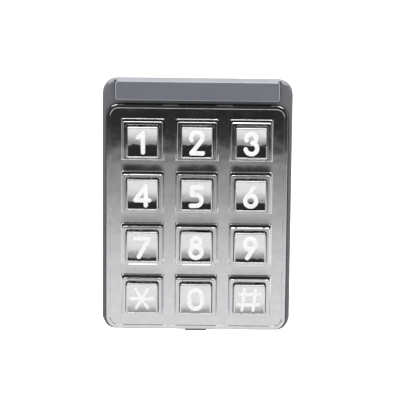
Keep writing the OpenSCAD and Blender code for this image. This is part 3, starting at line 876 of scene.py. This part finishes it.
# Each figure as runs of stroke, in millimetres from the middle of its key, X right and Y up.
FIGURES = {
    "one": bars((-1.9, 2.15), (0.1, 3.75), (0.2, -4.0)),
    "two": arc((-0.1, 2.2), 2.25, 205, -30)
           + bars(polar((-0.1, 2.2), 2.25, -30), (-2.2, -4.15), (2.35, -4.15)),
    "three": arc((-0.1, 2.1), 1.95, 200, -75) + arc((0.0, -1.9), 2.3, 82, -170),
    "four": bars((1.35, 3.7), (-2.8, -2.1), (2.8, -2.1)) + bars((1.35, 3.7), (1.4, -4.2)),
    "five": bars((2.3, 3.45), (-1.6, 3.45), (-1.85, 0.35), (-0.2, 0.35)) + arc((-0.2, -1.9), 2.25, 90, -90)
            + bars((-0.2, -4.15), (-2.25, -4.15)),
    "six": arc((0.0, -1.95), 2.2, 0, 360) + bars((-1.9, -0.85), (1.1, 3.75)),
    "seven": bars((-2.75, 3.6), (2.6, 3.6), (-1.3, -4.05)),
    "eight": arc((-0.05, 2.35), 1.75, 0, 360) + arc((-0.05, -1.85), 2.3, 0, 360),
    "nine": arc((0.0, 1.85), 2.2, 0, 360) + bars((1.9, 0.75), (-1.1, -4.0)),
    "star": bars((-4.6, 0.15), (4.5, 0.15)) + bars((-2.35, 3.85), (2.35, -3.85))
            + bars((2.35, 3.85), (-2.35, -3.85)),
    "zero": arc((0, 1.5), 2.45, 0, 180) + arc((0, -1.5), 2.45, 180, 360)
            + bars((-2.45, 1.5), (-2.45, -1.5)) + bars((2.45, 1.5), (2.45, -1.5)),
    "hash": bars((-2.0, 4.3), (-2.95, -4.3)) + bars((2.5, 4.3), (1.55, -4.3))
            + bars((-4.2, 2.35), (4.3, 2.35)) + bars((-4.7, -2.0), (3.9, -2.0)),
}


class READER_OT_figures(bpy.types.Operator):
    """Model the raised white figure on each key"""
    bl_idname = "reader.figures"
    bl_label = "Figures"

    def execute(self, context):
        sizes = context.scene.reader_key_sizes
        sunk = 0.1 * MM                     # how far a figure's base lies in the key
        hollow = 0.08 * MM                  # how far the dish takes the face below its rim
        for name, figure in KEYS.items():
            low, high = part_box(name)
            middle = (low + high) / 2
            level = low.y + sizes.drop + hollow
            width = (sizes.sign_stroke if figure in ("star", "hash") else sizes.stroke) / MM
            runs = bmesh.new()
            for kind, *where in FIGURES[figure]:
                STROKES[kind](runs, *where, width)
            bm = self.outline(runs)
            self.raise_up(bm, (sizes.figure_height + sunk) / MM, sizes.figure_edge / MM)
            place = Matrix.Translation((middle.x, level + sunk, middle.z)) @ Matrix.Rotation(pi / 2, 4, "X")
            bmesh.ops.transform(bm, matrix=place @ Matrix.Scale(MM, 4), verts=bm.verts)
            mark_sharp(bm, 50)
            piece("figure_" + figure, bm, "key_chrome", name, finish="figure_white")
        return {"FINISHED"}

    def outline(self, runs):
        """One flat face region, in millimetres, over all the runs of stroke."""
        runs.normal_update()
        for face in runs.faces:
            if face.normal.z < 0:
                face.normal_flip()
        runs.verts.index_update()
        convex = [[v.co.to_2d() for v in f.verts] for f in runs.faces]
        points, _, triangles, _, _, _ = delaunay_2d_cdt(
            [v.co.to_2d() for v in runs.verts], [], [[v.index for v in f.verts] for f in runs.faces], 0, 1e-4)
        runs.free()
        bm = bmesh.new()
        corners = [bm.verts.new((*p, 0)) for p in points]
        for triangle in triangles:
            middle = sum((points[i] for i in triangle), Vector((0, 0))) / 3
            if any(all((b - a).cross(middle - a) > 0 for a, b in zip(f, f[1:] + f[:1])) for f in convex):
                bm.faces.new([corners[i] for i in triangle])
        bmesh.ops.delete(bm, geom=[v for v in bm.verts if not v.link_faces], context="VERTS")
        bmesh.ops.remove_doubles(bm, verts=bm.verts, dist=0.03)
        bmesh.ops.dissolve_degenerate(bm, edges=bm.edges, dist=0.01)
        return bm

    def raise_up(self, bm, height, edge):
        """Gives the flat region its thickness, and its top edge a quarter round."""
        made = bmesh.ops.extrude_face_region(bm, geom=bm.faces[:], use_keep_orig=True)
        top = faces_in(made["geom"])
        bmesh.ops.translate(bm, vec=(0, 0, height - edge), verts=list({v for f in top for v in f.verts}))
        bmesh.ops.recalc_face_normals(bm, faces=bm.faces)
        for a, b in quarter_round(3):
            bmesh.ops.inset_region(bm, faces=top, thickness=edge * (cos(a) - cos(b)),
                                   depth=edge * (sin(b) - sin(a)), use_even_offset=False)


class READER_OT_key_mat(bpy.types.Operator):
    """Split the switch mat into its sheet and twelve domes"""
    bl_idname = "reader.key_mat"
    bl_label = "Key mat"

    def execute(self, context):
        low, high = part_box("keypad_mat")
        back, dome_top = high.y, low.y
        sheet_front = back - 1.0 * MM
        foot, crown = 4.2 * MM, 2.6 * MM        # a dome's radii at the sheet and at its top
        for name, figure in KEYS.items():
            middle = (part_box(name)[0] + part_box(name)[1]) / 2
            bm = bmesh.new()
            lay = Matrix.Translation((middle.x, 0, middle.z)) @ Matrix.Rotation(pi / 2, 4, "X")
            bmesh.ops.create_cone(bm, cap_ends=True, segments=40, radius1=foot, radius2=crown,
                                  depth=sheet_front - dome_top,
                                  matrix=Matrix.Translation((0, (sheet_front + dome_top) / 2, 0)) @ lay)
            skirt = faces_at(bm, sheet_front)
            made = bmesh.ops.extrude_face_region(bm, geom=skirt)
            bmesh.ops.translate(bm, vec=(0, back - sheet_front, 0),
                                verts=[v for v in made["geom"] if isinstance(v, bmesh.types.BMVert)])
            bmesh.ops.delete(bm, geom=skirt, context="FACES_ONLY")
            bevel(bm, [e for e in bm.edges if both_at(e, 1, dome_top)], 0.25 * MM, 3)
            mark_sharp(bm, 40)
            dome = piece("mat_dome_" + figure, bm, "silicone", "reader")
            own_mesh(dome)

        bm = block(Vector((low.x, sheet_front, low.z)), high)
        bevel(bm, upright_edges(bm), 2 * MM, 8)
        mark_sharp(bm, 40)
        piece("mat_sheet", bm, "silicone", "reader", ("keypad_mat",))
        return {"FINISHED"}


class READER_OT_mounting_parts(bpy.types.Operator):
    """Round the edges of the mounting plate, its screw and the pieces behind the housing"""
    bl_idname = "reader.mounting_parts"
    bl_label = "Mounting parts"

    def execute(self, context):
        sizes = context.scene.reader_back_sizes
        low, high = 0, 1                    # the ends of a box
        y, z = 1, 2
        for name, node, radius, end, axis, segments in (
                ("rear_case_shell", "rear_case", sizes.moulded_edge, high, y, 3),
                ("grommet_ring", "cable_grommet", sizes.rubber_edge, high, y, 3),
                ("mounting_plate_sheet", "mounting_plate", sizes.sheet_edge, high, y, 2),
                ("lock_screw", "security_screw", sizes.screw_edge, low, z, 3)):
            self.round_one_end(name, node, radius, end, axis, segments)
        return {"FINISHED"}

    def round_one_end(self, name, node, radius, end, axis, segments):
        """Rounds the edges that lie in the plane of one end of the node's box."""
        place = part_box(node)[end][axis]
        rounded_piece(name, node, lambda edge: radius if both_at(edge, axis, place) else 0.0, segments)


class READER_OT_stage(bpy.types.Operator):
    """Set the pale floor, the soft lights and the camera"""
    bl_idname = "reader.stage"
    bl_label = "Stage"

    def execute(self, context):
        settings = context.scene.reader_stage
        context.scene.view_settings.view_transform = "Standard"
        self.floor(settings)
        self.world(context, settings)
        self.softbox("Overhead", settings.overhead, (2.0, 1.6), (0, 0.35, 1.0), (0, 0.35, 0))
        self.softbox("Left", settings.sides * 0.6, (0.5, 1.0), (-1.1, -0.35, 0.1), (0, 0, 0))
        self.softbox("Right", settings.sides, (0.5, 1.0), (1.1, -0.35, 0.1), (0, 0, 0))
        self.camera(context, settings)
        return {"FINISHED"}

    def floor(self, settings):
        bm = bmesh.new()
        bmesh.ops.create_grid(bm, x_segments=1, y_segments=1, size=6.0,
                              matrix=Matrix.Translation((0, 0, CAD_BOX[0].z - settings.floor_drop)))
        mesh = bpy.data.meshes.new("floor")
        bm.to_mesh(mesh)
        bm.free()
        obj = add_object("floor", mesh)
        paper = Finish("floor_paper", (0.93, 0.93, 0.93), 0.9)
        paper.tone(paper.noise(0.3, 3), 0.98, 1.0)
        paper.shader.inputs["Emission Color"].default_value = (1, 1, 1, 1)
        paper.shader.inputs["Emission Strength"].default_value = 0.6
        mesh.materials.append(paper.material)
        obj.visible_glossy = obj.visible_diffuse = False

    def softbox(self, name, power, area, place, aim):
        light = bpy.data.lights.new(name, "AREA")
        light.shape = "RECTANGLE"
        light.size, light.size_y = area
        light.energy = power
        obj = add_object(name, light)
        obj.location = place
        obj.rotation_mode = "QUATERNION"
        obj.rotation_quaternion = (Vector(aim) - Vector(place)).to_track_quat("-Z", "Y")

    def world(self, context, settings):
        """A pale room for the eye, and for reflections a bright bench top that ends in a dark band."""
        world = bpy.data.worlds.new("Studio")
        context.scene.world = world
        world.use_nodes = True
        tree = world.node_tree
        background = tree.nodes["Background"]
        direction = tree.nodes.new("ShaderNodeTexCoord")
        split = tree.nodes.new("ShaderNodeSeparateXYZ")
        tree.links.new(direction.outputs["Generated"], split.inputs["Vector"])
        bench = self.ramp(tree, split.outputs["Z"], (-0.36, -0.22), BENCH_TOP)
        above = self.ramp(tree, split.outputs["Z"], (-0.22, 1.0), ROOM_ABOVE)
        total = tree.nodes.new("ShaderNodeMath")
        total.operation = "ADD"
        tree.links.new(bench, total.inputs[0])
        tree.links.new(above, total.inputs[1])
        bounced = tree.nodes.new("ShaderNodeMath")
        bounced.operation = "MULTIPLY_ADD"
        tree.links.new(total.outputs["Value"], bounced.inputs[0])
        bounced.inputs[1].default_value = settings.bounce
        bounced.inputs[2].default_value = settings.ambient
        path = tree.nodes.new("ShaderNodeLightPath")
        soft = self.choice(tree, path.outputs["Is Diffuse Ray"], total.outputs["Value"])
        tree.links.new(bounced.outputs["Value"], soft.inputs["B"])
        seen = self.choice(tree, path.outputs["Is Camera Ray"], soft.outputs["Result"])
        seen.inputs["B"].default_value = 1.0
        tree.links.new(seen.outputs["Result"], background.inputs["Strength"])
        background.inputs["Color"].default_value = (1, 1, 1, 1)

    def choice(self, tree, test, otherwise):
        """A node that gives its B where the test is 1, and the other value elsewhere."""
        node = tree.nodes.new("ShaderNodeMix")
        node.data_type = "FLOAT"
        tree.links.new(test, node.inputs["Factor"])
        tree.links.new(otherwise, node.inputs["A"])
        return node

    def ramp(self, tree, value, span, stops):
        """Brightness by elevation, over that span of a direction's height, which is the elevation's sine."""
        ranged = tree.nodes.new("ShaderNodeMapRange")
        ranged.inputs["From Min"].default_value, ranged.inputs["From Max"].default_value = span
        tree.links.new(value, ranged.inputs["Value"])
        ramp = tree.nodes.new("ShaderNodeValToRGB")
        tree.links.new(ranged.outputs["Result"], ramp.inputs["Fac"])
        elements = ramp.color_ramp.elements
        elements.remove(elements[1])
        for i, (elevation, level) in enumerate(stops):
            place = (sin(radians(elevation)) - span[0]) / (span[1] - span[0])
            element = elements.new(place) if i else elements[0]
            element.position = place
            element.color = (level, level, level, 1)
        return ramp.outputs["Color"]

    def camera(self, context, settings):
        top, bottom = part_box("key_1")[1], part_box("key_hash")[0]
        target = Vector((0, bottom.y, (top.z + bottom.z) / 2))
        elevation, azimuth, roll = settings.elevation, settings.azimuth, settings.roll
        outward = Vector((sin(azimuth) * cos(elevation), -cos(azimuth) * cos(elevation), sin(elevation)))
        right = Vector((cos(azimuth), sin(azimuth), 0))
        up = outward.cross(right)
        right, up = right * cos(roll) + up * sin(roll), up * cos(roll) - right * sin(roll)
        place = target + outward * settings.distance
        aim = target + right * settings.aim_right + up * settings.aim_up
        back = (place - aim).normalized()
        right = (right - back * right.dot(back)).normalized()
        up = back.cross(right)
        data = bpy.data.cameras.new("Camera")
        data.sensor_width = 36.0
        data.lens = settings.lens
        data.clip_start, data.clip_end = 0.05, 20.0
        obj = add_object("Camera", data)
        obj.matrix_world = Matrix.Translation(place) @ Matrix((right, up, back)).transposed().to_4x4()
        context.scene.camera = obj


class READER_PT_panel(bpy.types.Panel):
    """Sizes, colours and build steps of the keypad reader"""
    bl_idname = "READER_PT_panel"
    bl_label = "Keypad Reader"
    bl_space_type = "VIEW_3D"
    bl_region_type = "UI"
    bl_category = "Keypad Reader"

    def draw(self, context):
        for operator in OPERATORS:
            self.layout.operator(operator.bl_idname)
        for name, group in GROUPS.items():
            box = self.layout.box()
            for prop in group.__annotations__:
                box.prop(getattr(context.scene, name), prop)


OPERATORS = (READER_OT_finishes, READER_OT_housing, READER_OT_reader_bar, READER_OT_bezel, READER_OT_keys,
             READER_OT_figures, READER_OT_key_mat, READER_OT_mounting_parts, READER_OT_stage)


def register():
    for cls in (*GROUPS.values(), *OPERATORS, READER_PT_panel):
        bpy.utils.register_class(cls)
    for name, group in GROUPS.items():
        setattr(bpy.types.Scene, name, PointerProperty(type=group))


def unregister():
    for name in GROUPS:
        delattr(bpy.types.Scene, name)
    for cls in reversed((*GROUPS.values(), *OPERATORS, READER_PT_panel)):
        bpy.utils.unregister_class(cls)


def main():
    register()
    bpy.ops.reader.finishes()
    bpy.ops.reader.housing()
    bpy.ops.reader.reader_bar()
    bpy.ops.reader.bezel()
    bpy.ops.reader.keys()
    bpy.ops.reader.figures()
    bpy.ops.reader.key_mat()
    bpy.ops.reader.mounting_parts()
    bpy.ops.reader.stage()


if __name__ == "__main__":
    main()
